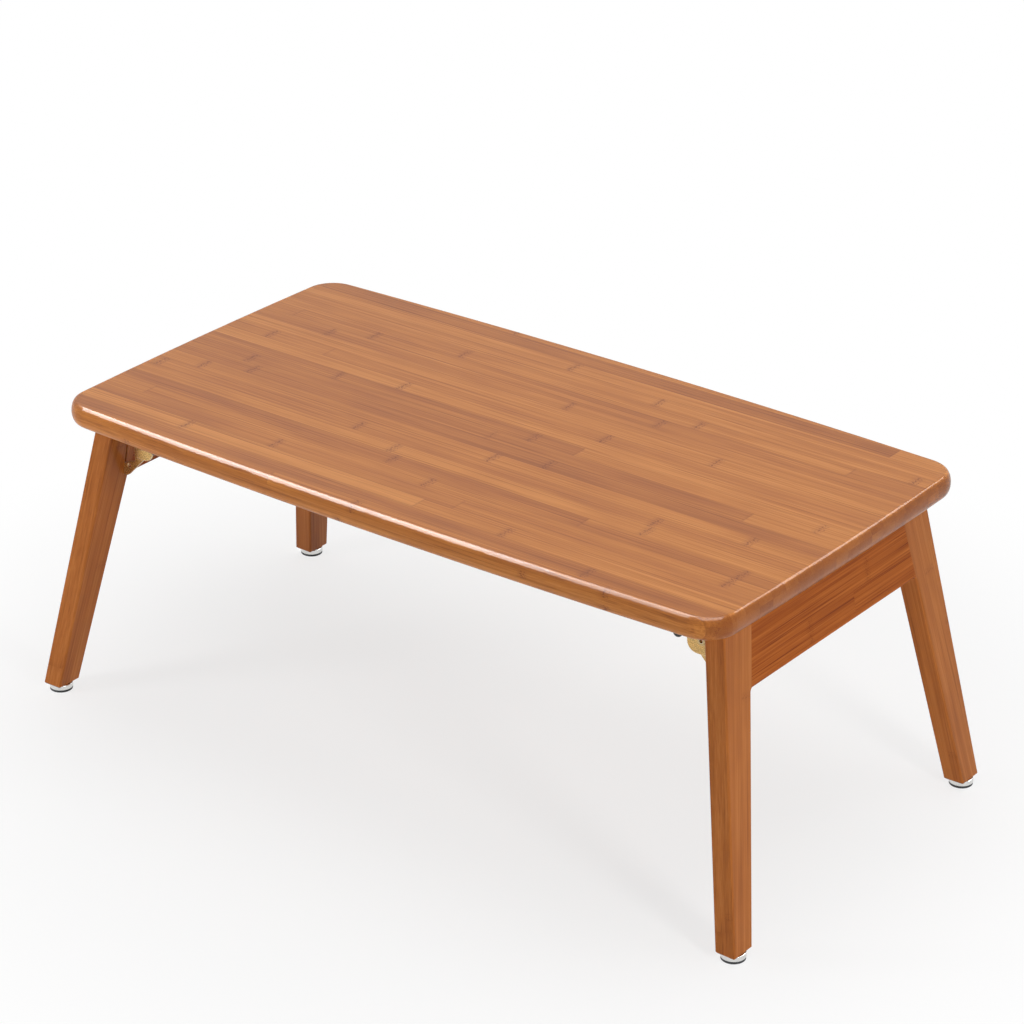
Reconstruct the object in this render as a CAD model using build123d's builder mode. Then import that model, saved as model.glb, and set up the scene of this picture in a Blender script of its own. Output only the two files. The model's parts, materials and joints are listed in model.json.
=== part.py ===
from build123d import *
import os
from math import acos, atan2, cos, degrees, radians, sin, tan

# A folding low table in laminated bamboo: a bow-sided top on two splayed leg frames, each
# frame hinged to the top by a pair of pressed-steel brackets with spring-loaded lock levers.
# Millimetres. +X runs along the length, +Y across the width, +Z up, and the origin is on the
# floor under the middle of the top. The corner at +X, +Y is modelled, and the others mirror it.

# ---- Tabletop ----
table_length = 800.0
table_width = 438.0
table_height = 336.0
top_thickness = 23.0
corner_radius = 34.0
long_edge_bow = 9.75
short_edge_bow = 3.6
edge_round_depth = 5.75

# ---- Leg frames ----
frame_splay = 10.0
frame_thickness = 22.0
frame_end_inset = 21.2
frame_top_gap = 0.5
leg_side_inset = 47.1
leg_side_splay = 8.2
leg_top_width = 43.8
leg_foot_width = 29.5
apron_depth = 71.0
apron_corner_radius = 4.0
frame_edge_round = 2.2
foot_chamfer = 1.5
joint_offset = 0.3

# ---- Apron dowels ----
dowel_radius = 4.0
dowel_length = 44.0
dowel_drops = (20.0, 54.0)
dowel_face_inset = 6.5
dowel_end_room = 1.0

# ---- Foot glides ----
glide_radius = 12.2
glide_cup_height = 5.6
glide_pad_height = 2.2
glide_pad_inset = 0.3
glide_round = 1.2
nail_radius = 1.5
nail_length = 20.0
nail_head_radius = 4.0
nail_head_height = 1.2

# ---- Folding brackets ----
plate_thickness = 2.0
plate_gap = 0.2
bend_round = 1.2
bracket_inset = 20.4
pivot_drop = 33.0
pivot_to_leg = 19.8
web_centre = (-5.2, -3.5)
web_radius = 10.7
web_lean = 6.0
web_heel = 4.8
web_shoulder_start = 6.0
web_shoulder = (10.0, 14.0)
table_flange_width = 20.0
table_flange_inner = 30.0
flange_corner_radius = 4.0

# ---- Leg plates, in the plate's own axes from the pivot: across to the leg, and up along it ----
cam_radius = 10.5
neck_outline = ((10.5, 3.0), (-6.5, -8.0), (-4.0, -16.0))
lobe_outline = ((12.0, -39.7), (16.5, -43.0))
lobe_top_outline = ((13.2, -24.5), (6.6, -21.3))
lobe_corner_radius = 4.0
lobe_hole_radius = 2.3
lobe_hole_place = (13.5, -29.7)
tang_bottom = -43.0
tang_top = -29.5
tang_length = 9.9
kerf_depth = 10.0
plate_pin_radius = 1.5
plate_pin_length = 16.0
plate_pin_set_in = 0.678
plate_pin_place = (25.0, -36.0)

# ---- Screws ----
screw_radius = 1.7
screw_length = 15.0
screw_head_radius = 3.6
screw_head_height = 1.8
screw_recess_span = 4.2
screw_recess_width = 0.9
screw_recess_depth = 1.0
screw_hole_radius = 2.0
screw_line_inset = 11.2
table_screw_offsets = (-24.0, -11.5, 1.0)

# ---- Fastener heads and tips, as shares of a head's height and a shank's radius ----
head_round_share = 0.6
tip_chamfer_share = 0.7

# ---- Pivot rivets ----
pivot_rivet_radius = 3.0
pivot_rivet_bore = 2.0
pivot_head_radius = 4.6
pivot_head_height = 1.2
running_gap = 0.05
seat_gap = 0.02

# ---- Lock levers ----
lock_pin_radius = 1.8
lock_pin_angle = 135.0
lock_pin_lift = 0.2
lock_pin_head = 0.6
lock_arm = 16.0
lever_swing = 24.0
fold_swing = 100.0
notch_gap = 0.3
lever_hub_radius = 4.5
lever_pin_boss_radius = 3.6
lever_end_radius = 3.8
lever_rivet_radius = 2.0
lever_head_radius = 3.5
lever_head_height = 0.9
knob_from_pivot = (-23.0, 3.6)
knob_radius = 4.8
knob_height = 4.8
knob_round = 2.4
knob_stud_radius = 1.5
knob_back_radius = 3.2
knob_back_height = 1.2

# ---- Lock springs ----
spring_wire_radius = 0.4
spring_coil_radius = 2.9
spring_turns = 3
spring_pitch = 0.7
spring_end_gap = 0.3
spring_anchor = (-7.5, 4.6)
spring_hook_reach = 15.0
spring_hook_rise = 5.0
spring_end_turn = 300.0
spring_bend_radius = 0.8

# ---- Heights and the leg frame's own plane ----
underside = table_height - top_thickness
leg_bottom = glide_cup_height + glide_pad_height
frame_top = underside - frame_top_gap
splay_sin = sin(radians(frame_splay))
splay_cos = cos(radians(frame_splay))
frame_x = table_length / 2 - frame_end_inset
frame_face = Plane(origin=(frame_x, 0, underside), x_dir=(0, 1, 0), z_dir=(splay_cos, 0, splay_sin))

# ---- Leg outline on that plane: half-widths at a distance down the slope ----
frame_drop = (underside - leg_bottom) / splay_cos
leg_outer_top = table_width / 2 - leg_side_inset
leg_inner_top = leg_outer_top - leg_top_width
outer_slope = tan(radians(leg_side_splay))
inner_slope = outer_slope + (leg_top_width - leg_foot_width) / frame_drop


def leg_outer(drop):
    """Half-width over the legs' outer edges, this far down the slope."""
    return leg_outer_top + outer_slope * drop


def leg_inner(drop):
    """Half-width between the legs' inner edges, this far down the slope."""
    return leg_inner_top + inner_slope * drop


# ---- Bracket layers across the width, counted from the outer plate inwards ----
table_web_y = leg_outer_top - bracket_inset
leg_web_y = table_web_y - plate_thickness - plate_gap
lever_y = table_web_y + plate_gap + plate_thickness
screw_y = table_web_y - screw_line_inset

# ---- Pivot, and the plane on the leg's inner face beside it ----
pivot_z = underside - pivot_drop
pivot_x = frame_x - (frame_thickness + pivot_to_leg - pivot_drop * splay_sin) / splay_cos
leg_normal = Vector(splay_cos, 0, splay_sin)
leg_seat = Plane(
    origin=Vector(pivot_x, 0, pivot_z) + leg_normal * pivot_to_leg, x_dir=(0, 1, 0), z_dir=leg_normal
)

plate_plane = Plane(
    origin=(pivot_x, leg_web_y, pivot_z), x_dir=(splay_cos, 0, splay_sin), z_dir=(0, -1, 0)
)

# ---- Lock pin, lever rivet and knob, as (x, z) ----
pin_orbit = cam_radius + lock_pin_lift
pin_x = pivot_x + pin_orbit * cos(radians(lock_pin_angle))
pin_z = pivot_z + pin_orbit * sin(radians(lock_pin_angle))
lever_x = pin_x + lock_arm * sin(radians(lock_pin_angle))
lever_z = pin_z - lock_arm * cos(radians(lock_pin_angle))
knob_x = pivot_x + knob_from_pivot[0]
knob_z = pivot_z + knob_from_pivot[1]
lift_per_radian = lock_arm * lever_swing / fold_swing
notch_turn = degrees((lock_pin_radius + notch_gap - lock_pin_lift) / lift_per_radian)

# ---- Where each copy of a mirrored piece goes ----
sides = {"right": [], "left": [Plane.YZ]}
corners = {
    "back_right": [],
    "front_right": [Plane.XZ],
    "back_left": [Plane.YZ],
    "front_left": [Plane.XZ, Plane.YZ],
}


def at(x, y, z, direction):
    """A plane at a point, facing the given way."""
    return Plane(origin=(x, y, z), z_dir=direction)


def export_copies(name, part, places):
    """Write one mirrored copy of a piece for each side or corner of the table."""
    for place, mirrors in places.items():
        piece = part
        for plane in mirrors:
            piece = piece.mirror(plane)
        piece.label = f"{name}_{place}"
        export_step(piece, f"parts/{piece.label}.step")


def pan_screw():
    """A cross-recessed pan-head screw along Z, with its head seated at z = 0."""
    with BuildPart() as screw:
        Cylinder(screw_radius, screw_length, align=(Align.CENTER, Align.CENTER, Align.MAX))
        chamfer(screw.faces().sort_by(Axis.Z)[0].edges(), length=screw_radius * tip_chamfer_share)
        Cylinder(screw_head_radius, screw_head_height, align=(Align.CENTER, Align.CENTER, Align.MIN))
        fillet(screw.faces().sort_by(Axis.Z)[-1].edges(), radius=screw_head_height * head_round_share)
        with BuildSketch(Plane.XY.offset(screw_head_height)):
            Rectangle(screw_recess_span, screw_recess_width)
            Rectangle(screw_recess_width, screw_recess_span)
        extrude(amount=-screw_recess_depth, mode=Mode.SUBTRACT)
    return screw.part


def rivet(radius, head_radius, head_height, grip):
    """A rivet along Z with two heads, seated at z = 0 and clinched at z = -grip."""
    with BuildPart() as body:
        Cylinder(radius, grip, align=(Align.CENTER, Align.CENTER, Align.MAX))
        Cylinder(head_radius, head_height, align=(Align.CENTER, Align.CENTER, Align.MIN))
        with Locations((0, 0, -grip)):
            Cylinder(head_radius, head_height, align=(Align.CENTER, Align.CENTER, Align.MAX))
        ends = body.faces().sort_by(Axis.Z)
        fillet([ends[0].edge(), ends[-1].edge()], radius=head_height * head_round_share)
    return body.part


os.makedirs("parts", exist_ok=True)

screw = pan_screw()
table_screw_seats = [
    at(side * (pivot_x + offset), end * screw_y, underside - plate_thickness, (0, 0, -1))
    for side in (1, -1)
    for end in (1, -1)
    for offset in table_screw_offsets
]

# ---- Tabletop: a core plate with a half-elliptical rim swept round the bowed outline ----
rim_overlap = 12.0
corner_x = table_length / 2 - short_edge_bow
corner_y = table_width / 2 - long_edge_bow

with BuildPart() as tabletop:
    with BuildSketch(Plane.XY.offset(underside)) as plan:
        with BuildLine():
            ThreePointArc((-corner_x, -corner_y), (0, -table_width / 2), (corner_x, -corner_y))
            ThreePointArc((corner_x, -corner_y), (table_length / 2, 0), (corner_x, corner_y))
            ThreePointArc((corner_x, corner_y), (0, table_width / 2), (-corner_x, corner_y))
            ThreePointArc((-corner_x, corner_y), (-table_length / 2, 0), (-corner_x, -corner_y))
        make_face()
        fillet(plan.vertices(), corner_radius)
        outline = plan.sketch.faces()[0].outer_wire()
        offset(amount=-edge_round_depth - rim_overlap / 2, mode=Mode.REPLACE)
    extrude(amount=top_thickness)
    with BuildSketch(Plane(origin=outline @ 0, x_dir=(0, 0, 1), z_dir=outline % 0)):
        with BuildLine():
            EllipticalCenterArc(
                (top_thickness / 2, -edge_round_depth), top_thickness / 2, edge_round_depth, arc_size=180
            )
            Polyline(
                (0, -edge_round_depth),
                (0, -edge_round_depth - rim_overlap),
                (top_thickness, -edge_round_depth - rim_overlap),
                (top_thickness, -edge_round_depth),
            )
        make_face()
    sweep(path=outline)
    with Locations(*table_screw_seats):
        Hole(screw_radius + seat_gap, depth=screw_length)

tabletop.part.label = "tabletop"
export_step(tabletop.part, "parts/tabletop.step")

# ---- Leg frame: made in one, rounded all round, then parted into two legs and an apron ----
overrun = 15.0

with BuildPart() as frame:
    with BuildSketch(frame_face) as frame_outline:
        with BuildLine():
            foot = frame_drop + overrun
            Polyline(
                (-leg_outer(-overrun), overrun),
                (leg_outer(-overrun), overrun),
                (leg_outer(foot), -foot),
                (leg_inner(foot), -foot),
                (leg_inner(apron_depth), -apron_depth),
                (-leg_inner(apron_depth), -apron_depth),
                (-leg_inner(foot), -foot),
                (-leg_outer(foot), -foot),
                close=True,
            )
        make_face()
        fillet(frame_outline.vertices().group_by(Axis.Y)[1], apron_corner_radius)
    extrude(amount=-frame_thickness)
    fillet(frame.faces().filter_by(frame_face).edges(), frame_edge_round)
    split(bisect_by=Plane.XY.offset(frame_top), keep=Keep.BOTTOM)
    split(bisect_by=Plane.XY.offset(leg_bottom), keep=Keep.TOP)
    foot_faces = frame.faces().filter_by(Plane.XY).group_by(Axis.Z)[0]
    chamfer(foot_faces.edges(), length=foot_chamfer)

joint_point = frame_face.from_local_coords((leg_inner_top - joint_offset, 0))
joint_normal = frame_face.x_dir + frame_face.y_dir * inner_slope
joint_plane = Plane(origin=joint_point, z_dir=joint_normal)
far_joint_plane = Plane(
    origin=(joint_point.X, -joint_point.Y, joint_point.Z),
    z_dir=(joint_normal.X, -joint_normal.Y, joint_normal.Z),
)
dowel_seats = [
    Plane(
        origin=frame_face.from_local_coords((leg_inner(drop) - joint_offset, -drop, -dowel_face_inset)),
        x_dir=(1, 0, 0),
        z_dir=(0, 1, 0),
    )
    for drop in dowel_drops
]
foot_centre_x = frame_x + frame_drop * splay_sin - frame_thickness / splay_cos / 2
foot_centre_y = (leg_outer(frame_drop) + leg_inner(frame_drop)) / 2

kerf_top = pivot_drop
kerf_bottom = tang_bottom - seat_gap
pin_point = plate_plane.from_local_coords(plate_pin_place)
pin_joint_y = leg_inner(-frame_face.to_local_coords(pin_point).Y) - joint_offset
pin_middle_y = pin_joint_y + plate_pin_set_in + plate_pin_length / 2
plate_pin_seat = at(pin_point.X, pin_middle_y, pin_point.Z, (0, 1, 0))

with BuildPart() as leg:
    add(frame.part)
    split(bisect_by=joint_plane, keep=Keep.TOP)
    with Locations(*dowel_seats):
        Cylinder(dowel_radius + seat_gap, dowel_length + dowel_end_room, mode=Mode.SUBTRACT)
    with BuildSketch(leg_seat):
        with Locations((leg_web_y - plate_thickness / 2, (kerf_top + kerf_bottom) / 2)):
            Rectangle(plate_thickness + 2 * seat_gap, kerf_top - kerf_bottom)
    extrude(amount=kerf_depth, mode=Mode.SUBTRACT)
    with Locations(plate_pin_seat):
        Cylinder(plate_pin_radius + seat_gap, plate_pin_length + 2 * dowel_end_room, mode=Mode.SUBTRACT)
    with Locations(at(foot_centre_x, foot_centre_y, leg_bottom, (0, 0, -1))):
        Hole(nail_radius + seat_gap, depth=nail_length)

export_copies("leg", leg.part, corners)

with BuildPart() as apron:
    add(frame.part)
    split(bisect_by=joint_plane, keep=Keep.BOTTOM)
    split(bisect_by=far_joint_plane, keep=Keep.BOTTOM)
    with Locations(*dowel_seats):
        Cylinder(dowel_radius + seat_gap, dowel_length + dowel_end_room, mode=Mode.SUBTRACT)
    split(bisect_by=Plane.XZ, keep=Keep.BOTTOM)
    mirror(about=Plane.XZ)

export_copies("apron", apron.part, sides)

with BuildPart() as apron_dowels:
    with Locations(*dowel_seats):
        Cylinder(dowel_radius, dowel_length)
    mirror(about=Plane.XZ)

export_copies("apron_dowels", apron_dowels.part, sides)

# ---- Foot glides: a plated cup on a nail, with a dark pad under it ----
with BuildPart() as glide_pad:
    with Locations((foot_centre_x, foot_centre_y, 0)):
        Cylinder(
            glide_radius - glide_pad_inset,
            glide_pad_height,
            align=(Align.CENTER, Align.CENTER, Align.MIN),
        )
    fillet(glide_pad.faces().sort_by(Axis.Z)[0].edges(), radius=glide_round / 2)

export_copies("glide_pad", glide_pad.part, corners)

with BuildPart() as glide_cup:
    with Locations((foot_centre_x, foot_centre_y, glide_pad_height)):
        Cylinder(glide_radius, glide_cup_height, align=(Align.CENTER, Align.CENTER, Align.MIN))
    fillet(glide_cup.edges().filter_by(GeomType.CIRCLE), radius=glide_round)
    with Locations(at(foot_centre_x, foot_centre_y, glide_pad_height, (0, 0, -1))):
        CounterBoreHole(
            nail_radius + seat_gap, nail_head_radius + seat_gap, nail_head_height + seat_gap
        )

export_copies("glide_cup", glide_cup.part, corners)

nail_seat_z = glide_pad_height + nail_head_height + seat_gap

with BuildPart() as glide_nail:
    with Locations((foot_centre_x, foot_centre_y, nail_seat_z)):
        Cylinder(nail_radius, nail_length, align=(Align.CENTER, Align.CENTER, Align.MIN))
        Cylinder(nail_head_radius, nail_head_height, align=(Align.CENTER, Align.CENTER, Align.MAX))
    chamfer(glide_nail.faces().sort_by(Axis.Z)[-1].edges(), length=nail_radius * tip_chamfer_share)
    mirror(about=Plane.XZ)

export_copies("glide_nails", glide_nail.part, sides)

# ---- Table plate: a flange under the top and a web that hangs beside the leg ----
web_centre_x = pivot_x + web_centre[0]
web_centre_z = pivot_z + web_centre[1]
heel_x = pivot_x + web_heel
shoulder_x = pivot_x + web_shoulder[0]
pin_path_start = 90 + lock_pin_angle
flange_x = (shoulder_x + pivot_x - table_flange_inner) / 2
flange_y = table_web_y - table_flange_width / 2

with BuildPart() as table_plate:
    with BuildSketch(Plane.XZ.offset(-table_web_y)):
        with Locations((web_centre_x, web_centre_z)):
            Circle(web_radius)
        with BuildLine():
            Polyline(
                (web_centre_x - web_radius, web_centre_z),
                (web_centre_x, web_centre_z - web_radius),
                (heel_x, web_centre_z - web_radius),
                (heel_x, pivot_z + web_shoulder_start),
                (shoulder_x, pivot_z + web_shoulder[1]),
                (shoulder_x, underside),
                (web_centre_x - web_radius - web_lean, underside),
                close=True,
            )
        make_face()
        with Locations((pivot_x, pivot_z)):
            Circle(pivot_rivet_radius + seat_gap, mode=Mode.SUBTRACT)
        with Locations((lever_x, lever_z)):
            Circle(lever_rivet_radius + seat_gap, mode=Mode.SUBTRACT)
        with Locations((lever_x + spring_anchor[0], lever_z + spring_anchor[1])):
            Circle(spring_wire_radius + seat_gap, mode=Mode.SUBTRACT)
        with BuildLine(mode=Mode.PRIVATE) as pin_path:
            CenterArc((lever_x, lever_z), lock_arm, pin_path_start, -lever_swing)
        SlotArc(pin_path.edge(), 2 * (lock_pin_radius + notch_gap), mode=Mode.SUBTRACT)
    extrude(amount=plate_thickness)
    with BuildSketch(Plane.XY.offset(underside)):
        with Locations((flange_x, flange_y)):
            Rectangle(table_flange_inner + web_shoulder[0], table_flange_width)
    extrude(amount=-plate_thickness)
    flange_corners = table_plate.edges().filter_by(Axis.Z).group_by(Axis.Y)[0]
    fillet(flange_corners, flange_corner_radius)
    bend = table_plate.faces().filter_by(Plane.XY).sort_by(Axis.Z)[-1].edges().sort_by(Axis.Y)[-1]
    fillet(bend, bend_round)
    with Locations(*table_screw_seats):
        Cylinder(screw_hole_radius, screw_length, mode=Mode.SUBTRACT)

export_copies("table_plate", table_plate.part, corners)

# ---- Leg plate: a cam round the pivot, and a lobe whose tang sits in the leg's saw kerf ----
notch_end_orbit = cam_radius + lock_pin_radius + notch_gap
notch_end_angle = radians(lock_pin_angle + notch_turn)
notch_end = (
    pivot_x + notch_end_orbit * cos(notch_end_angle),
    pivot_z + notch_end_orbit * sin(notch_end_angle),
)
tang_end = pivot_to_leg + tang_length

with BuildPart() as leg_plate:
    with BuildSketch(plate_plane) as plate_outline:
        with BuildLine():
            Polyline(
                *neck_outline,
                *lobe_outline,
                (tang_end, tang_bottom),
                (tang_end, tang_top),
                (pivot_to_leg, tang_top),
                *lobe_top_outline,
                close=True,
            )
        make_face()
        low_corners = plate_outline.vertices().group_by(Axis.Y)
        fillet(low_corners[0] + low_corners[1], radius=lobe_corner_radius)
        Circle(cam_radius)
        Circle(pivot_rivet_radius + running_gap, mode=Mode.SUBTRACT)
        with Locations(lobe_hole_place):
            Circle(lobe_hole_radius, mode=Mode.SUBTRACT)
        with Locations(plate_pin_place):
            Circle(plate_pin_radius + seat_gap, mode=Mode.SUBTRACT)
    extrude(amount=plate_thickness)
    with BuildSketch(Plane.XZ.offset(-leg_web_y)):
        with Locations((pin_x, pin_z), notch_end):
            Circle(lock_pin_radius + notch_gap)
        make_hull()
    extrude(amount=plate_thickness, mode=Mode.SUBTRACT)

export_copies("leg_plate", leg_plate.part, corners)

# ---- Blind cross pins through the tangs, drilled from the faces that the aprons cover ----
with BuildPart() as plate_pins:
    with Locations(plate_pin_seat):
        Cylinder(plate_pin_radius, plate_pin_length)
    mirror(about=Plane.XZ)

export_copies("plate_pins", plate_pins.part, sides)

# ---- Screws into the top ----
with BuildPart() as table_screws:
    with Locations(*table_screw_seats):
        add(screw)

tabletop_screws = table_screws.part
tabletop_screws.label = "table_screws"
export_step(tabletop_screws, "parts/table_screws.step")

# ---- Pivot rivets: tubular, clinched on the table plate and free in the leg plate ----
pivot_grip = 2 * plate_thickness + 2 * plate_gap
pivot_rivet = rivet(pivot_rivet_radius, pivot_head_radius, pivot_head_height, pivot_grip)

with BuildPart() as pivot_rivets:
    with Locations(at(pivot_x, table_web_y, pivot_z, (0, 1, 0))):
        add(pivot_rivet)
        Hole(pivot_rivet_bore)
    mirror(about=Plane.XZ)
    mirror(about=Plane.YZ)

pivot_rivets.part.label = "pivot_rivets"
export_step(pivot_rivets.part, "parts/pivot_rivets.step")

# ---- Lock lever, its cross pin, thumb knob, spring and rivet ----
spring_length = (spring_turns - 1) * spring_pitch + 2 * spring_wire_radius
spring_start_y = lever_y + spring_end_gap
lever_rivet_grip = 2 * plate_thickness + plate_gap + spring_length + 2 * spring_end_gap
lever_rivet = rivet(lever_rivet_radius, lever_head_radius, lever_head_height, lever_rivet_grip)

with BuildPart() as lever_rivets:
    with Locations(at(lever_x, table_web_y - plate_thickness + lever_rivet_grip, lever_z, (0, 1, 0))):
        add(lever_rivet)
    mirror(about=Plane.XZ)
    mirror(about=Plane.YZ)

lever_rivets.part.label = "lever_rivets"
export_step(lever_rivets.part, "parts/lever_rivets.step")

with BuildPart() as lock_lever:
    with BuildSketch(Plane.XZ.offset(-lever_y)):
        with Locations((lever_x, lever_z)):
            Circle(lever_hub_radius)
        with Locations((pin_x, pin_z)):
            Circle(lever_pin_boss_radius)
        with Locations((knob_x, knob_z)):
            Circle(lever_end_radius)
        make_hull()
        with Locations((lever_x, lever_z)):
            Circle(lever_rivet_radius + running_gap, mode=Mode.SUBTRACT)
        with Locations((pin_x, pin_z)):
            Circle(lock_pin_radius + seat_gap, mode=Mode.SUBTRACT)
        with Locations((knob_x, knob_z)):
            Circle(knob_stud_radius + seat_gap, mode=Mode.SUBTRACT)
    extrude(amount=plate_thickness)

export_copies("lock_lever", lock_lever.part, corners)

with BuildPart() as lock_pin:
    with Locations(at(pin_x, lever_y, pin_z, (0, 1, 0))):
        Cylinder(
            lock_pin_radius,
            lever_y - leg_web_y + plate_thickness,
            align=(Align.CENTER, Align.CENTER, Align.MAX),
        )
        Cylinder(
            lock_pin_radius + lock_pin_head,
            lock_pin_head,
            align=(Align.CENTER, Align.CENTER, Align.MIN),
        )
    fillet(lock_pin.faces().sort_by(Axis.Y)[-1].edges(), radius=lock_pin_head * head_round_share)

export_copies("lock_pin", lock_pin.part, corners)

with BuildPart() as lock_knob:
    with Locations(at(knob_x, lever_y, knob_z, (0, 1, 0))):
        Cylinder(knob_radius, knob_height, align=(Align.CENTER, Align.CENTER, Align.MIN))
        Cylinder(
            knob_stud_radius,
            plate_thickness + knob_back_height,
            align=(Align.CENTER, Align.CENTER, Align.MAX),
        )
    fillet(lock_knob.faces().sort_by(Axis.Y)[-1].edges(), radius=knob_round)
    with Locations(at(knob_x, lever_y - plate_thickness, knob_z, (0, 1, 0))):
        Cylinder(
            knob_back_radius, knob_back_height, align=(Align.CENTER, Align.CENTER, Align.MAX)
        )

export_copies("lock_knob", lock_knob.part, corners)

# The coil is drawn as level turns, and each end turn runs on into a straight leg. One leg is
# anchored in the table plate's web, and the other crosses the lever and hooks over its upper edge.
lever_line = Vector(knob_x - lever_x, 0, knob_z - lever_z).normalized()
lever_side = Vector(lever_line.Z, 0, -lever_line.X)
lever_centre = Vector(lever_x, 0, lever_z)
inner_turn_y = spring_start_y + spring_wire_radius
outer_turn_y = spring_start_y + spring_length - spring_wire_radius
hook_bend = lever_centre + lever_line * spring_hook_reach + lever_side * spring_hook_rise
anchor_bend = lever_centre + Vector(spring_anchor[0], 0, spring_anchor[1])


def on_coil(angle, y):
    """A point on the coil's centre line, at an angle from +X towards +Z."""
    across = spring_coil_radius * cos(radians(angle))
    up = spring_coil_radius * sin(radians(angle))
    return Vector(lever_x + across, y, lever_z + up)


def leaving_angle(bend, turning):
    """Where the wire leaves the coil, so that its straight stretch to the bend is tangent to it."""
    reach = bend - lever_centre
    bearing = degrees(atan2(reach.Z, reach.X))
    return bearing - turning * degrees(acos(spring_coil_radius / reach.length))


with BuildPart() as lock_spring:
    with BuildSketch(Plane.XY.offset(lever_z)):
        for turn in range(1, spring_turns - 1):
            with Locations((lever_x + spring_coil_radius, inner_turn_y + turn * spring_pitch)):
                Circle(spring_wire_radius)
    revolve(axis=Axis((lever_x, 0, lever_z), (0, 1, 0)))
    for bend, turn_y, tip_y, turning in (
        (hook_bend, inner_turn_y, lever_y - plate_thickness, -1),
        (anchor_bend, outer_turn_y, table_web_y - plate_thickness, 1),
    ):
        angle = leaving_angle(bend, turning)
        corner = bend + Vector(0, turn_y, 0)
        leaving = on_coil(angle, turn_y)
        outward = (corner - leaving).normalized()
        bend_start = corner - outward * spring_bend_radius
        bend_end = corner - Vector(0, spring_bend_radius, 0)
        with BuildLine() as spring_wire:
            ThreePointArc(
                on_coil(angle - turning * spring_end_turn, turn_y),
                on_coil(angle - turning * spring_end_turn / 2, turn_y),
                leaving,
            )
            Line(leaving, bend_start)
            TangentArc(bend_start, bend_end, tangent=outward)
            Line(bend_end, Vector(corner.X, tip_y, corner.Z))
        with BuildSketch(Plane(origin=spring_wire.line @ 0, z_dir=spring_wire.line % 0)):
            Circle(spring_wire_radius)
        sweep()

export_copies("lock_spring", lock_spring.part, corners)
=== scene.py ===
import json
from math import atan2, cos, pi, radians, sin

import bpy
from mathutils import Matrix, Vector


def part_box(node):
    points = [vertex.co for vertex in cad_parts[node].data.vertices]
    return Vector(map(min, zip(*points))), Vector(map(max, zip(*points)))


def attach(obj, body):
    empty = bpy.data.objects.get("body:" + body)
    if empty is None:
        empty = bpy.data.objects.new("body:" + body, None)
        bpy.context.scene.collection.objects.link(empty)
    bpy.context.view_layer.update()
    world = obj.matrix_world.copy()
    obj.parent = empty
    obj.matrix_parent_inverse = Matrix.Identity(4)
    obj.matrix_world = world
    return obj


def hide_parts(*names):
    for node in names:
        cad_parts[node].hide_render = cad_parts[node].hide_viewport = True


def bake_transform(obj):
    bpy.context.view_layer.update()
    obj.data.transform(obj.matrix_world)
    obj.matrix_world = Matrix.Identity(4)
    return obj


# A folding bamboo low table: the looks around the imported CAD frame. Metres, in the frame's axes.
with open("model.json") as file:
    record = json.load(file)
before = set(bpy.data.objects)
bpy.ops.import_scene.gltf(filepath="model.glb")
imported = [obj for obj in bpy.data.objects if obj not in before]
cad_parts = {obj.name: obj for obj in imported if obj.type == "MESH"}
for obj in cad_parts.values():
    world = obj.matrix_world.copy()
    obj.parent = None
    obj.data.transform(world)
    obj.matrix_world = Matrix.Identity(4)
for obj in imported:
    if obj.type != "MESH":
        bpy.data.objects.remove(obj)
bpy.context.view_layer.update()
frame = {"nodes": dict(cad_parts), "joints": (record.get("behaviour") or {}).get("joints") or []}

SIDES = {"right": 1, "left": -1}
ENDS = {"back": 1, "front": -1}
CORNERS = {
    f"{end}_{side}": (SIDES[side], ENDS[end]) for side in SIDES for end in ENDS
}


def add_to_scene(name, data):
    thing = bpy.data.objects.new(name, data)
    bpy.context.scene.collection.objects.link(thing)
    return thing


# ---- Camera: angles in radians, sensor and lens in millimetres ----
CAMERA_PLACE = Vector((1.9282, -2.5353, 1.7795))
CAMERA_YAW = 0.6471
CAMERA_PITCH = 0.4475
CAMERA_ROLL = 0.0066
SENSOR_WIDTH = 36.0
CAMERA_LENS = 125.77


def make_camera():
    """A long lens to the front right of the table that looks down on it, to the back left."""
    forward = Vector(
        (
            -sin(CAMERA_YAW) * cos(CAMERA_PITCH),
            cos(CAMERA_YAW) * cos(CAMERA_PITCH),
            -sin(CAMERA_PITCH),
        )
    )
    level_right = forward.cross(Vector((0, 0, 1))).normalized()
    level_up = level_right.cross(forward)
    right = level_right * cos(CAMERA_ROLL) + level_up * sin(CAMERA_ROLL)
    up = level_up * cos(CAMERA_ROLL) - level_right * sin(CAMERA_ROLL)
    data = bpy.data.cameras.new("camera")
    data.sensor_width = SENSOR_WIDTH
    data.lens = CAMERA_LENS
    camera = add_to_scene("camera", data)
    axes = Matrix((right, up, -forward)).transposed()
    camera.matrix_world = Matrix.Translation(CAMERA_PLACE) @ axes.to_4x4()
    bpy.context.scene.camera = camera


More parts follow.
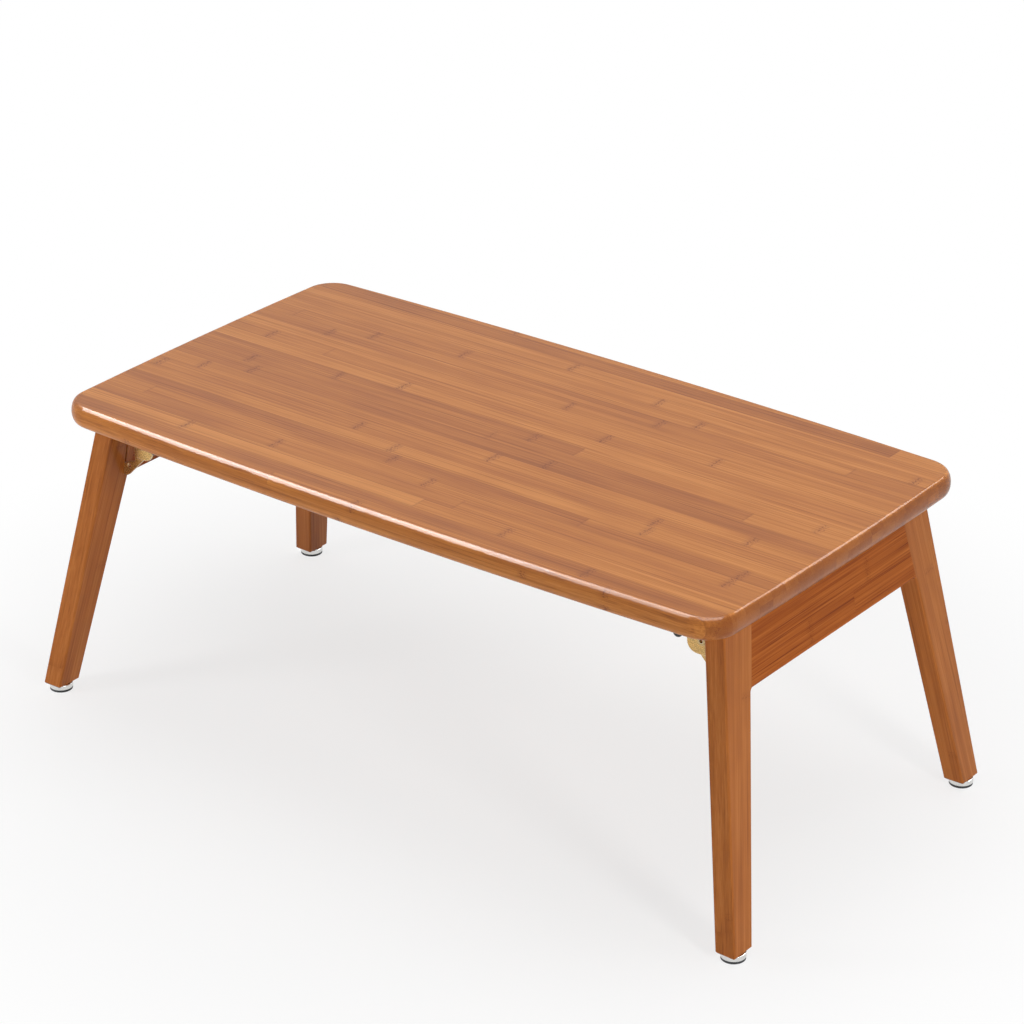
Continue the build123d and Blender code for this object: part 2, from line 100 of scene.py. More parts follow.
# ---- Materials: a short way to write node trees ----
class Tree:
    """Adds nodes to one tree. An input is another node's socket or a constant."""

    def __init__(self, nodes_of):
        self.tree = nodes_of

    def give(self, node, inputs):
        for name, value in inputs.items():
            if isinstance(value, bpy.types.NodeSocket):
                self.tree.links.new(value, node.inputs[name])
            else:
                node.inputs[name].default_value = value

    def add(self, kind, inputs=None, **settings):
        node = self.tree.nodes.new(kind)
        for name, value in settings.items():
            setattr(node, name, value)
        self.give(node, inputs or {})
        return node

    def math(self, operation, a, b=0.0):
        return self.add("ShaderNodeMath", {0: a, 1: b}, operation=operation).outputs[0]

    def plus(self, a, b):
        return self.math("ADD", a, b)

    def minus(self, a, b):
        return self.math("SUBTRACT", a, b)

    def times(self, a, b):
        return self.math("MULTIPLY", a, b)

    def swing(self, value, reach):
        """A value from 0 to 1 as a swing of half the reach to either side of 0."""
        return self.times(self.minus(value, 0.5), reach)

    def from_cell_middle(self, place):
        """How far a place is from the middle of its cell: 0 there, and 0.5 at the cell's edge."""
        return self.math("ABSOLUTE", self.minus(self.math("FRACT", place), 0.5))

    def ease(self, value, low, high, out_low=0.0, out_high=1.0):
        """Runs smoothly from out_low to out_high as the value goes from low to high."""
        inputs = {"Value": value, 1: low, 2: high, 3: out_low, 4: out_high}
        node = self.add("ShaderNodeMapRange", inputs, interpolation_type="SMOOTHSTEP")
        return node.outputs[0]

    def split(self, vector):
        return self.add("ShaderNodeSeparateXYZ", {0: vector}).outputs

    def join(self, x, y, z):
        return self.add("ShaderNodeCombineXYZ", {0: x, 1: y, 2: z}).outputs[0]

    def vector(self, operation, a, b):
        return self.add("ShaderNodeVectorMath", {0: a, 1: b}, operation=operation).outputs[0]

    def dot(self, a, b):
        node = self.add("ShaderNodeVectorMath", {0: a, 1: b}, operation="DOT_PRODUCT")
        return node.outputs["Value"]

    def noise(self, place, waves, detail, roughness=0.5):
        """A soft noise from 0 to 1, with so many waves a metre along each axis."""
        inputs = {
            "Vector": self.vector("MULTIPLY", place, waves),
            "Scale": 1.0,
            "Detail": detail,
            "Roughness": roughness,
        }
        return self.add("ShaderNodeTexNoise", inputs).outputs["Fac"]

    def random(self, vector):
        return self.add("ShaderNodeTexWhiteNoise", {"Vector": vector}).outputs["Value"]

    def ramp(self, value, stops):
        """A colour that follows the value through (place, colour) stops."""
        node = self.add("ShaderNodeValToRGB", {0: value})
        elements = node.color_ramp.elements
        while len(elements) < len(stops):
            elements.new(0.5)
        for element, (place, colour) in zip(elements, stops):
            element.position = place
            element.color = (*colour, 1)
        return node.outputs[0]

    def blend(self, factor, a, b, mode="MIX"):
        inputs = {0: factor, 6: a, 7: b}
        node = self.add("ShaderNodeMix", inputs, data_type="RGBA", blend_type=mode)
        return node.outputs[2]

    def bump(self, height, distance, strength):
        inputs = {"Height": height, "Distance": distance, "Strength": strength}
        return self.add("ShaderNodeBump", inputs).outputs[0]


def new_material(name):
    """A new node material, its tree writer, its surface shader and the object's coordinates."""
    material = bpy.data.materials.new(name)
    material.use_nodes = True
    tree = Tree(material.node_tree)
    shader = material.node_tree.nodes["Principled BSDF"]
    place = tree.add("ShaderNodeTexCoord").outputs
    return material, tree, shader, place


def paint(material, *names):
    for name in names:
        mesh = frame["nodes"][name].data
        mesh.materials.clear()
        mesh.materials.append(material)


# ---- Bamboo ----
BAMBOO_STOPS = (
    (0.0, (0.215, 0.050, 0.004)),
    (0.3, (0.365, 0.104, 0.012)),
    (0.6, (0.515, 0.170, 0.024)),
    (1.0, (0.720, 0.290, 0.062)),
)
DARK_FIBRE = (0.170, 0.034, 0.004, 1)
GLUE_LINE = (0.190, 0.042, 0.006, 1)
UNTINTED = (1, 1, 1, 1)

# Noises: waves a metre along, across and through the grain, then detail and roughness.
WANDER = ((2.2, 14, 14), 1, 0.5)
BANDS = ((1.6, 95, 95), 2, 0.55)
STREAKS = ((4, 520, 520), 3, 0.65)
FIBRES = ((18, 1500, 1500), 2, 0.6)
CLOUDS = ((9, 26, 26), 2, 0.5)
RIPPLE = ((0, 330, 330), 2, 0.5)
DOTS = ((520, 900, 900), 1, 0.5)
BUNDLES = (60, 1250, 1250)

# Strips and planks. A seed and a shift in lengths give each strip its own cuts and culm nodes.
WANDER_REACH = 0.0016
PLANK_LENGTH = 2.4
PLANK_SEED = 3.7
PLANK_SHIFT = 7
GRAIN_SHIFT = 9
GLUE_EDGE = (0.475, 0.5)
BUTT_EDGE = (0.4992, 0.5)
BUTT_SHARE = 0.7

# Tones. A range of four runs from a low and a high noise value to what each of them gives.
BAND_TONE = (0.28, 0.72, 0.47, 0.63)
CLOUD_TONE = (0.3, 0.7, -0.06, 0.06)
FIBRE_TONE = 0.45
DARK_STREAKS = (0.42, 0.30)
DARK_STREAK_SHARE = 0.5

# Culm nodes: two dotted lines across the strip, a little apart, in a bruised band.
NODE_SPACING = 0.34
NODE_SEED = 11.3
NODE_SHIFT = 5
NODE_PLACES = (0.3, 0.7)
NODE_CHANCE = (0.30, 0.34)
NODE_BAND = 0.0085
NODE_LINE = 0.0011
FIRST_LINE = NODE_LINE * 1.6
LINE_GAP = 0.0042
RIPPLE_REACH = 0.009
FIRST_DOTS = (0.40, 0.60)
SECOND_DOTS = (0.5, 0.66)
MARK_SHARE = 0.85
BRUISE_SHARE = (0.3, 0.7, 0.12, 0.36)

# End grain.
END_FACING = (0.55, 0.9)
END_SHARE = 0.8
END_PLANK_TONE = 0.06
END_CLOUD_TONE = (0.3, 0.7, 0.02, 0.20)
BUNDLE_EDGE = (0.42, 0.18)
BUNDLE_SHARE = 0.45
END_GLUE_SHARE = 0.15

# Lacquer over the grain, and the relief that still shows through it.
LACQUER_ROUGHNESS = (0.3, 0.7, 0.40, 0.33)
MARK_ROUGHNESS = 0.12
FIBRE_RELIEF = 0.5
STREAK_RELIEF = 0.5
LINE_RELIEF = 0.8
RELIEF_DEPTH = 0.00012
RELIEF_STRENGTH = 0.6
WOOD_SPECULAR = 0.05
COAT_ROUGHNESS = 0.09

GROUP_SOCKETS = {
    "INPUT": {
        "Place": "Vector",
        "Facing": "Vector",
        "Strip": "Float",
        "Ply": "Float",
        "Streaks": "Float",
        "Planks": "Float",
        "Nodes": "Float",
        "Tint": "Color",
    },
    "OUTPUT": {"Color": "Color", "Roughness": "Float", "Height": "Float"},
}


def culm_nodes(t, given, strip, ply):
    """The shares of a culm node's bruised band and of its broken dark lines at this place."""
    along = t.split(given["Place"])[0]
    shift = t.random(t.join(strip, ply, NODE_SEED))
    place = t.plus(t.math("DIVIDE", along, NODE_SPACING), t.times(shift, NODE_SHIFT))
    chance = t.random(t.join(strip, ply, t.math("FLOOR", place)))
    centre = t.ease(chance, 0.0, 1.0, *NODE_PLACES)
    from_node = t.times(t.minus(t.math("FRACT", place), centre), NODE_SPACING)
    ripple = t.noise(given["Place"], *RIPPLE)
    from_line = t.plus(from_node, t.swing(ripple, RIPPLE_REACH))
    from_second = t.math("ABSOLUTE", t.minus(from_line, LINE_GAP))
    dots = t.noise(given["Place"], *DOTS)
    first = t.ease(t.math("ABSOLUTE", from_line), FIRST_LINE, 0.0)
    first = t.times(first, t.ease(dots, *FIRST_DOTS))
    second = t.ease(from_second, NODE_LINE, 0.0)
    second = t.times(second, t.ease(dots, *SECOND_DOTS))
    shown = t.times(t.ease(chance, *NODE_CHANCE), given["Nodes"])
    marks = t.times(t.times(t.math("MAXIMUM", first, second), shown), MARK_SHARE)
    band = t.ease(t.math("ABSOLUTE", from_node), NODE_BAND, 0.0)
    bruise = t.times(t.times(band, shown), t.ease(dots, *BRUISE_SHARE))
    return bruise, marks


def end_grain(t, given, plank_tone, clouds, glue):
    """How far a face shows the grain's ends, and their colour: fibre bundles cut to dark dots."""
    end_on = t.ease(t.math("ABSOLUTE", t.split(given["Facing"])[0]), *END_FACING)
    inputs = {"Vector": t.vector("MULTIPLY", given["Place"], BUNDLES), "Scale": 1.0}
    bundles = t.add("ShaderNodeTexVoronoi", inputs).outputs["Distance"]
    dots = t.times(t.ease(bundles, *BUNDLE_EDGE), BUNDLE_SHARE)
    tone = t.plus(t.times(plank_tone, END_PLANK_TONE), t.ease(clouds, *END_CLOUD_TONE))
    colour = t.blend(dots, t.ramp(tone, BAMBOO_STOPS), DARK_FIBRE)
    colour = t.blend(t.times(glue, END_GLUE_SHARE), colour, GLUE_LINE)
    return t.times(end_on, END_SHARE), colour


def bamboo_group():
    """Laminated bamboo. Place is (along, across, through) in metres, Facing the normal there."""
    group = bpy.data.node_groups.new("laminated_bamboo", "ShaderNodeTree")
    for direction, sockets in GROUP_SOCKETS.items():
        for name, kind in sockets.items():
            kind = f"NodeSocket{kind}"
            group.interface.new_socket(name=name, in_out=direction, socket_type=kind)
    t = Tree(group)
    given = t.add("NodeGroupInput").outputs
    along, across, through = t.split(given["Place"])

    # Strips side by side and plies on top of each other, each cut into planks at its own places.
    wandered = t.plus(across, t.swing(t.noise(given["Place"], *WANDER), WANDER_REACH))
    strip_place = t.math("DIVIDE", wandered, given["Strip"])
    strip = t.math("FLOOR", strip_place)
    ply = t.math("FLOOR", t.math("DIVIDE", through, given["Ply"]))
    shift = t.random(t.join(strip, ply, PLANK_SEED))
    plank_place = t.plus(t.math("DIVIDE", along, PLANK_LENGTH), t.times(shift, PLANK_SHIFT))
    plank_tone = t.random(t.join(strip, ply, t.math("FLOOR", plank_place)))

    # Soft bands, clouds, streaks and fine fibres, drawn out along the grain of each plank.
    own_place = t.vector("ADD", given["Place"], t.join(t.times(plank_tone, GRAIN_SHIFT), 0, 0))
    streaks = t.noise(own_place, *STREAKS)
    fibres = t.noise(own_place, *FIBRES)
    clouds = t.noise(own_place, *CLOUDS)
    tone = t.plus(
        t.swing(plank_tone, given["Planks"]),
        t.ease(t.noise(own_place, *BANDS), *BAND_TONE),
    )
    tone = t.plus(tone, t.ease(clouds, *CLOUD_TONE))
    tone = t.plus(tone, t.swing(streaks, given["Streaks"]))
    tone = t.plus(tone, t.swing(fibres, FIBRE_TONE))
    dark = t.times(t.ease(streaks, *DARK_STREAKS), t.times(given["Streaks"], DARK_STREAK_SHARE))
    colour = t.blend(dark, t.ramp(tone, BAMBOO_STOPS), DARK_FIBRE)

    # Glue lines between strips and butt joints between planks.
    glue = t.ease(t.from_cell_middle(strip_place), *GLUE_EDGE)
    butt = t.times(t.ease(t.from_cell_middle(plank_place), *BUTT_EDGE), BUTT_SHARE)
    lines = t.times(t.math("MAXIMUM", glue, butt), given["Planks"])
    colour = t.blend(lines, colour, GLUE_LINE)

    bruise, marks = culm_nodes(t, given, strip, ply)
    colour = t.blend(bruise, colour, GLUE_LINE)
    colour = t.blend(marks, colour, DARK_FIBRE)
    end_share, end_colour = end_grain(t, given, plank_tone, clouds, glue)
    colour = t.blend(end_share, colour, end_colour)
    # Multiplies by the tint: a deeper colour of the wood plus painted shade, so the legs and aprons
    # come out darker than the top.
    colour = t.blend(1.0, colour, given["Tint"], mode="MULTIPLY")

    roughness = t.plus(t.ease(streaks, *LACQUER_ROUGHNESS), t.times(marks, MARK_ROUGHNESS))
    height = t.plus(t.times(fibres, FIBRE_RELIEF), t.times(streaks, STREAK_RELIEF))
    height = t.minus(height, t.times(t.math("MAXIMUM", lines, marks), LINE_RELIEF))
    t.add("NodeGroupOutput", {"Color": colour, "Roughness": roughness, "Height": height})
    return group


def bamboo(
    name, along, across, origin, strip, ply, streaks, planks, nodes, coat, tint=UNTINTED
):
    """Lacquered bamboo: its grain runs along one direction, its strips lie across it.

    Streaks, planks and nodes are how strongly each of them shows, and coat is the lacquer's gloss.
    The tint multiplies the colour: partly the wood's own deeper colour, partly painted shade.
    """
    material, tree, shader, place = new_material(name)
    along = Vector(along).normalized()
    across = (Vector(across) - along * along.dot(Vector(across))).normalized()
    axes = (along, across, along.cross(across))
    moved = tree.vector("SUBTRACT", place["Object"], origin)
    inputs = {
        "Place": tree.join(*[tree.dot(moved, axis) for axis in axes]),
        "Facing": tree.join(*[tree.dot(place["Normal"], axis) for axis in axes]),
        "Strip": strip,
        "Ply": ply,
        "Streaks": streaks,
        "Planks": planks,
        "Nodes": nodes,
        "Tint": tint,
    }
    grain = tree.add("ShaderNodeGroup", inputs, node_tree=BAMBOO_GROUP).outputs
    surface = {
        "Base Color": grain["Color"],
        "Roughness": grain["Roughness"],
        "Specular IOR Level": WOOD_SPECULAR,
        "Coat Weight": coat,
        "Coat Roughness": COAT_ROUGHNESS,
        "Normal": tree.bump(grain["Height"], RELIEF_DEPTH, RELIEF_STRENGTH),
    }
    tree.give(shader, surface)
    return material


BAMBOO_GROUP = bamboo_group()
TOP_GRAIN = {
    "strip": 0.0205,
    "ply": 0.0078,
    "streaks": 0.80,
    "planks": 0.34,
    "nodes": 1.0,
    "coat": 0.45,
}
# The legs' and aprons' tints darken them below the top: partly their own deeper colour, partly
# painted shade for the lower light on their sides and under the top's overhang.
LEG_GRAIN = {
    "strip": 0.0146,
    "ply": 0.0110,
    "streaks": 0.60,
    "planks": 0.14,
    "nodes": 0.40,
    "coat": 0.25,
    "tint": (0.88, 0.82, 0.95, 1),
}
APRON_GRAIN = {
    "strip": 0.0236,
    "ply": 0.0110,
    "streaks": 1.5,
    "planks": 0.05,
    "nodes": 0.5,
    "coat": 0.06,
    "tint": (0.80, 0.60, 0.42, 1),
}
# The middle of a leg's head, as a share of the leg's box, from its sides nearest the table's middle.
LEG_HEAD_SHARE = 0.17
# Offsets that give each leg and apron a grain of its own.
LEG_GRAIN_OFFSET = Vector((0.37, 0.013, 0))
APRON_GRAIN_OFFSET = (0.2, 0.11)
# An apron leans outward by this much for each unit of its height.
APRON_LEAN = 0.1763


def paint_top():
    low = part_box("tabletop")[0]
    top = bamboo(
        "bamboo_top", along=(1, 0, 0), across=(0, 1, 0), origin=(0, 0, low.z), **TOP_GRAIN
    )
    paint(top, "tabletop")


def paint_frames():
    """Each leg's grain follows its own slope, and each apron's runs across between the legs."""
    for corner, (side, end) in CORNERS.items():
        low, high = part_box(f"leg_{corner}")
        glide_low, glide_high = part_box(f"glide_cup_{corner}")
        foot = (glide_low + glide_high) / 2
        head_x = (low.x if side > 0 else high.x) + side * (high.x - low.x) * LEG_HEAD_SHARE
        head_y = (low.y if end > 0 else high.y) + end * (high.y - low.y) * LEG_HEAD_SHARE
        leg = bamboo(
            f"bamboo_leg_{corner}",
            along=Vector((head_x, head_y, high.z)) - foot,
            across=(0, 1, 0),
            origin=foot + LEG_GRAIN_OFFSET * Vector((side, end, 0)),
            **LEG_GRAIN,
        )
        paint(leg, f"leg_{corner}")
    for name, side in SIDES.items():
        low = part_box(f"apron_{name}")[0]
        apron = bamboo(
            f"bamboo_apron_{name}",
            along=(0, 1, 0),
            across=(side * APRON_LEAN, 0, -1),
            origin=(side * APRON_GRAIN_OFFSET[0], side * APRON_GRAIN_OFFSET[1], low.z),
            **APRON_GRAIN,
        )
        paint(apron, f"apron_{name}")


# ---- Metals, plastic, rubber and dowel wood ----
EDGE_ROUND = 0.0011
EDGE_SAMPLES = 6
# Where the bevelled normal turns away from the flat one, the edge colour is blended in: a painted
# highlight.
EDGE_HIGHLIGHT_RANGE = (0.995, 0.90, 0.0, 0.75)
MIDDLE_NOISE = (0.3, 0.7)
METAL_DRIFT = ((140, 140, 140), 3)
METAL_BRUSHING = ((900, 900, 5200), 2)
BRUSHED = (0.25, 0.75)
BRUSHED_GLOSS = (0.8, 1.25)
METAL_RELIEF = (0.00002, 0.5)
MOULDED_DRIFT = ((260, 260, 260), 2)
MOULDED_DETAIL = 4
MOULDED_GLOSS = (0.9, 1.2)
MOULDED_STRENGTH = 0.5
DOWEL_FIBRES = ((900, 18, 900), 3)
DOWEL_STOPS = ((0.3, (0.50, 0.33, 0.17)), (0.7, (0.66, 0.47, 0.27)))
DOWEL_ROUGHNESS = 0.6

# Each metal: its two colours, the pale colour painted on its edges as a highlight, its roughness and
# how metallic it is.
# Pale colours painted on the plates' edges as highlights.
ZINC_EDGE_HIGHLIGHT = (0.90, 0.82, 0.66, 1)
STEEL_EDGE_HIGHLIGHT = (0.90, 0.90, 0.88, 1)
METALS = {
    "yellow_zinc": ((0.68, 0.42, 0.14), (0.58, 0.37, 0.14), ZINC_EDGE_HIGHLIGHT, 0.26, 0.65),
    "yellow_zinc_rivet": ((0.52, 0.36, 0.15), (0.42, 0.30, 0.15), ZINC_EDGE_HIGHLIGHT, 0.24, 1.0),
    "yellow_zinc_screw": ((0.60, 0.46, 0.22), (0.54, 0.42, 0.22), ZINC_EDGE_HIGHLIGHT, 0.32, 1.0),
    "nickel": ((0.74, 0.74, 0.72), (0.66, 0.66, 0.65), STEEL_EDGE_HIGHLIGHT, 0.24, 1.0),
    "steel": ((0.56, 0.56, 0.57), (0.48, 0.48, 0.50), STEEL_EDGE_HIGHLIGHT, 0.28, 1.0),
}
# Each moulded material: its two colours, its roughness, its grain's waves a metre and depth.
MOULDINGS = {
    "knob_plastic": ((0.012, 0.012, 0.013), (0.020, 0.020, 0.021), 0.22, 900, 0.00001),
    "glide_rubber": ((0.020, 0.021, 0.024), (0.035, 0.036, 0.040), 0.62, 1600, 0.00004),
}
# What each material goes on: every node whose name starts like this.
FITTINGS = {
    "yellow_zinc": ("table_plate", "leg_plate", "lock_lever"),
    "yellow_zinc_rivet": ("pivot_rivets", "lever_rivets", "lock_pin"),
    "yellow_zinc_screw": ("table_screws",),
    "nickel": ("glide_cup",),
    "steel": ("glide_nails", "plate_pins", "lock_spring"),
    "glide_rubber": ("glide_pad",),
    "knob_plastic": ("lock_knob",),
    "dowel_wood": ("apron_dowels",),
}


def metal(name, colour, tint, edge_highlight, roughness, metallic):
    """Plated metal: its colour drifts, its edges are painted pale as a highlight where rounded edges
    would catch the light, and brushing breaks the gloss.
    """
    material, tree, shader, place = new_material(name)
    drift = tree.noise(place["Object"], *METAL_DRIFT)
    grain = tree.noise(place["Object"], *METAL_BRUSHING)
    shade = tree.ramp(tree.ease(drift, *MIDDLE_NOISE), ((0.0, colour), (1.0, tint)))
    bevel = tree.add("ShaderNodeBevel", {"Radius": EDGE_ROUND}, samples=EDGE_SAMPLES).outputs[0]
    flat = tree.add("ShaderNodeNewGeometry").outputs["Normal"]
    # Painted highlight: edges blend to the pale colour where the bevel normal turns from the flat
    # one.
    shade = tree.blend(tree.ease(tree.dot(bevel, flat), *EDGE_HIGHLIGHT_RANGE), shade, edge_highlight)
    gloss = tree.ease(grain, *BRUSHED, *[roughness * share for share in BRUSHED_GLOSS])
    surface = {
        "Base Color": shade,
        "Roughness": gloss,
        "Metallic": metallic,
        "Normal": tree.bump(grain, *METAL_RELIEF),
    }
    tree.give(shader, surface)
    return material


def moulded(name, colour, tint, roughness, waves, depth):
    """Moulded plastic or rubber with a fine leathery grain."""
    material, tree, shader, place = new_material(name)
    drift = tree.noise(place["Object"], *MOULDED_DRIFT)
    grain = tree.noise(place["Object"], (waves, waves, waves), MOULDED_DETAIL)
    gloss = [roughness * share for share in MOULDED_GLOSS]
    surface = {
        "Base Color": tree.ramp(drift, tuple(zip(MIDDLE_NOISE, (colour, tint)))),
        "Roughness": tree.ease(grain, *MIDDLE_NOISE, *gloss),
        "Normal": tree.bump(grain, depth, MOULDED_STRENGTH),
    }
    tree.give(shader, surface)
    return material


def dowel_wood(name):
    material, tree, shader, place = new_material(name)
    fibres = tree.noise(place["Object"], *DOWEL_FIBRES)
    surface = {"Base Color": tree.ramp(fibres, DOWEL_STOPS), "Roughness": DOWEL_ROUGHNESS}
    tree.give(shader, surface)
    return material


def paint_fittings():
    """Paints every piece that isn't bamboo, and returns the materials by name."""
    materials = {name: metal(name, *look) for name, look in METALS.items()}
    materials |= {name: moulded(name, *look) for name, look in MOULDINGS.items()}
    materials["dowel_wood"] = dowel_wood("dowel_wood")
    for name, starts in FITTINGS.items():
        paint(materials[name], *[node for node in frame["nodes"] if node.startswith(starts)])
    return materials


# ---- Stage and light ----
FLOOR_HALF = 9.0
FLOOR_COLOUR = (0.86, 0.86, 0.86, 1)
FLOOR_ROUGHNESS = 0.9
FLOOR_SHADOW_SHARE = 0.27
SHADOW_REACH = (0.38, 0.82)
WHITE = (1, 1, 1, 1)
WORLD_LIGHT = 0.22

# A light: its place, the point it is turned to, its size and its radiance.
SOFTBOX_OVER = ((0.1, 0.3, 2.4), (0, 0, 0.25), (2.1, 1.5), 3.0)
SOFTBOX_RIGHT = ((2.2, -0.75, 1.15), (0.4, 0, 0.15), (0.42, 0.42), 36.0)
SOFTBOX_LEFT = ((-1.05, -1.15, 0.6), (-0.42, -0.2, 0.15), (0.36, 0.36), 16.0)
CORNER_GLEAM = ((0.8, -0.5, 1.6), (0.4, -0.2, 0.33), (1.5, 1.2), 8.0)
BACK_GLEAM = ((0.75, 1.7, 1.75), (0.4, 0, 0.3), (1.3, 0.6), 8.0)

# The front edge mirrors panels that stand round it at these angles from straight up. Each one has
# a shift along the edge, a width and a radiance.
FRONT_EDGE = Vector((0, -0.21, 0.33))
FRONT_GLEAM_REACH = 1.8
FRONT_GLEAM_ANGLES = (radians(-5), radians(34))
FRONT_GLEAM_DEPTH = 1.6
FRONT_GLEAMS = {"left": (-1.55, 1.3, 21.0), "right": (-0.58, 0.64, 11.0)}


def backdrop_rays(tree):
    """1 for the rays that see the white backdrop: the camera's, and those in gloss and glass."""
    rays = tree.add("ShaderNodeLightPath").outputs
    seen = tree.math("MAXIMUM", rays["Is Camera Ray"], rays["Is Glossy Ray"])
    return tree.math("MAXIMUM", seen, rays["Is Transmission Ray"])


def make_floor():
    """A pale floor, seen nearly white, with the table's soft shadow on it."""
    data = bpy.data.meshes.new("floor")
    signs = ((-1, -1), (1, -1), (1, 1), (-1, 1))
    data.from_pydata([(x * FLOOR_HALF, y * FLOOR_HALF, 0) for x, y in signs], [], [(0, 1, 2, 3)])
    floor = add_to_scene("floor", data)
    material, tree, shader, place = new_material("floor")
    surface = {
        "Base Color": FLOOR_COLOUR,
        "Roughness": FLOOR_ROUGHNESS,
        "Specular IOR Level": 0.0,
    }
    tree.give(shader, surface)
    glow = tree.add("ShaderNodeEmission", {"Color": WHITE, "Strength": 1.0})
    length = tree.add("ShaderNodeVectorMath", {0: place["Object"]}, operation="LENGTH")
    from_middle = length.outputs["Value"]
    shown = tree.ease(from_middle, *SHADOW_REACH, 1 - FLOOR_SHADOW_SHARE, 1.0)
    share = tree.times(backdrop_rays(tree), shown)
    mixed = tree.add("ShaderNodeMixShader", {0: share, 1: shader.outputs[0], 2: glow.outputs[0]})
    tree.give(material.node_tree.nodes["Material Output"], {"Surface": mixed.outputs[0]})
    data.materials.append(material)


def make_world():
    """A white backdrop that the camera, gloss and glass see, and a soft light from all round."""
    world = bpy.data.worlds.new("studio")
    bpy.context.scene.world = world
    world.use_nodes = True
    tree = Tree(world.node_tree)
    strength = tree.plus(WORLD_LIGHT, tree.times(backdrop_rays(tree), 1 - WORLD_LIGHT))
    background = world.node_tree.nodes["Background"]
    tree.give(background, {"Color": WHITE, "Strength": strength})


def make_light(name, place, aim, size, radiance, lights=True, mirrored=True):
    """A softbox that the camera never sees. It lights surfaces, is mirrored in gloss, or both."""
    data = bpy.data.lights.new(name, "AREA")
    data.shape = "RECTANGLE"
    data.size, data.size_y = size
    data.energy = radiance * pi * size[0] * size[1]
    light = add_to_scene(name, data)
    light.location = place
    light.rotation_mode = "QUATERNION"
    light.rotation_quaternion = (Vector(aim) - Vector(place)).to_track_quat("-Z", "Y")
    light.visible_camera = False
    light.visible_diffuse = lights
    light.visible_glossy = mirrored


def make_lights():
    """One softbox overhead, one at each side, and panels that only the lacquer mirrors."""
    make_light("softbox_over", *SOFTBOX_OVER)
    make_light("softbox_right", *SOFTBOX_RIGHT, mirrored=False)
    make_light("softbox_left", *SOFTBOX_LEFT, mirrored=False)
    for name, (shift, width, radiance) in FRONT_GLEAMS.items():
        for number, angle in enumerate(FRONT_GLEAM_ANGLES):
            aim = FRONT_EDGE + Vector((shift, 0, 0))
            place = aim + Vector((0, -sin(angle), cos(angle))) * FRONT_GLEAM_REACH
            size = (width, FRONT_GLEAM_DEPTH)
            make_light(f"front_gleam_{name}_{number}", place, aim, size, radiance, lights=False)
    make_light("corner_gleam", *CORNER_GLEAM, lights=False)
    make_light("back_gleam", *BACK_GLEAM, lights=False)


# ---- Lever springs: each coil is a true helix, with a leg to the bracket and one to the lever ----
WIRE_RADIUS = 0.0004
WIRE_ROUNDNESS = 3
COIL_RADIUS = 0.0029
COIL_PITCH = 0.0007
COIL_GAPS = 2
STEPS_A_TURN = 40
BEND_RADIUS = 0.0010
BEND_STEPS = 8
ANCHOR_REACH = (-0.0075, 0.0046)
HOOK_REACH = 0.015
HOOK_RISE = 0.005


def tube(name, points, material):
    """A round wire through the points, as a closed mesh."""
    curve = bpy.data.curves.new(name, "CURVE")
    curve.dimensions = "3D"
    curve.bevel_depth = WIRE_RADIUS
    curve.bevel_resolution = WIRE_ROUNDNESS
    curve.use_fill_caps = True
    spline = curve.splines.new("POLY")
    spline.points.add(len(points) - 1)
    for point, place in zip(spline.points, points):
        point.co = (*place, 1)
    holder = bpy.data.objects.new(name + "_curve", curve)
    mesh = bpy.data.meshes.new_from_object(holder)
    mesh.name = name
    bpy.data.objects.remove(holder)
    bpy.data.curves.remove(curve)
    for polygon in mesh.polygons:
        polygon.use_smooth = True
    mesh.materials.clear()
    mesh.materials.append(material)
    piece = add_to_scene(name, mesh)
    return piece


def bent_leg(start, corner, end):
    """Points from start to end that turn round the corner on a smooth bend."""
    before = corner + (start - corner).normalized() * BEND_RADIUS
    after = corner + (end - corner).normalized() * BEND_RADIUS
    bend = []
    for step in range(BEND_STEPS + 1):
        t = step / BEND_STEPS
        bend.append(before * (1 - t) ** 2 + corner * (2 * t * (1 - t)) + after * t * t)
    return [start, *bend, end]


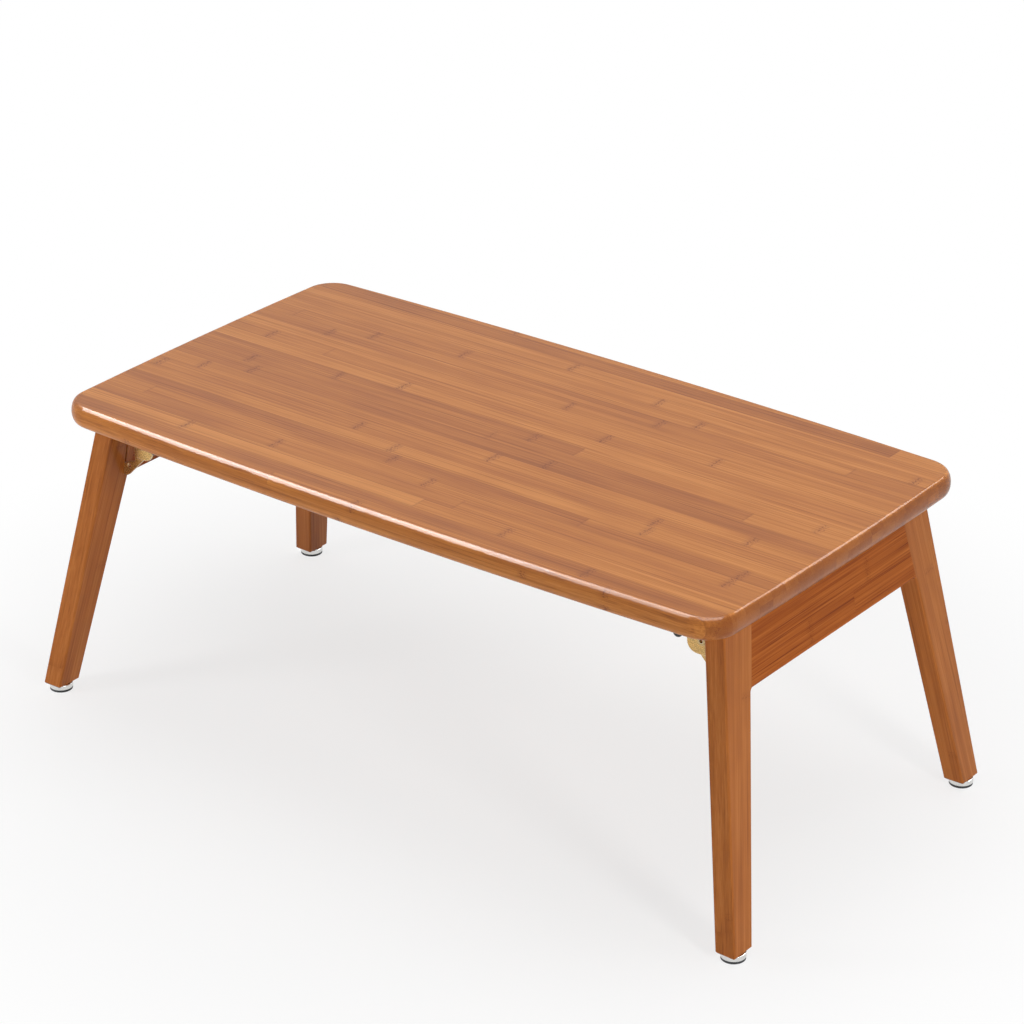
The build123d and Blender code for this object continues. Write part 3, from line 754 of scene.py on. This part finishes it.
def make_spring(corner, material):
    """The coil sits on the lever's rivet. Its far end turns with the lever."""
    side, end = CORNERS[corner]
    joint = next(j for j in frame["joints"] if j["name"] == f"lever_{corner}")
    low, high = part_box(f"lock_spring_{corner}")
    knob_low, knob_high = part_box(f"lock_knob_{corner}")
    lever_low, lever_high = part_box(f"lock_lever_{corner}")
    centre = Vector((joint["pos_m"][0], 0, joint["pos_m"][2]))
    knob = (knob_low + knob_high) / 2
    along = Vector((knob.x - centre.x, 0, knob.z - centre.z)).normalized()
    rise = Vector((-side * abs(along.z), 0, abs(along.x)))
    outer_y = (high.y if end > 0 else -low.y) - WIRE_RADIUS
    inner_y = outer_y - COIL_GAPS * COIL_PITCH
    web_y = low.y if end > 0 else -high.y
    lever_back_y = lever_low.y if end > 0 else -lever_high.y

    def at_y(point, y):
        return Vector((point.x, end * y, point.z))

    # The wire leaves the coil's top for the bracket and its lower side for the lever. Angles run
    # from straight up, away from the knob's side.
    up, away = Vector((0, 0, 1)), Vector((side, 0, 0))
    lever_angle = atan2(-rise.dot(away), -rise.dot(up))
    last_angle = lever_angle % (2 * pi) + 2 * pi * COIL_GAPS
    count = STEPS_A_TURN * (COIL_GAPS + 1)
    coil = []
    for step in range(count + 1):
        share = step / count
        angle = last_angle * share
        point = centre + up * (COIL_RADIUS * cos(angle)) + away * (COIL_RADIUS * sin(angle))
        coil.append(at_y(point, outer_y + (inner_y - outer_y) * share))
    anchor = centre + Vector((side * ANCHOR_REACH[0], 0, ANCHOR_REACH[1]))
    hook = centre + along * HOOK_REACH + rise * HOOK_RISE
    anchor_leg = bent_leg(coil[0], at_y(anchor, outer_y), at_y(anchor, web_y))
    lever_leg = bent_leg(coil[-1], at_y(hook, inner_y), at_y(hook, lever_back_y))
    coil_piece = tube(f"spring_coil_{corner}", coil, material)
    anchor_piece = tube(f"spring_anchor_leg_{corner}", anchor_leg, material)
    lever_piece = tube(f"spring_lever_leg_{corner}", lever_leg, material)
    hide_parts(f"lock_spring_{corner}")
    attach(anchor_piece, "tabletop")
    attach(lever_piece, f"lock_{corner}")
    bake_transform(coil_piece)


make_camera()
paint_top()
paint_frames()
fittings = paint_fittings()
for corner_name in CORNERS:
    make_spring(corner_name, fittings["steel"])
make_floor()
make_world()
make_lights()

bpy.context.scene.view_settings.view_transform = "Standard"
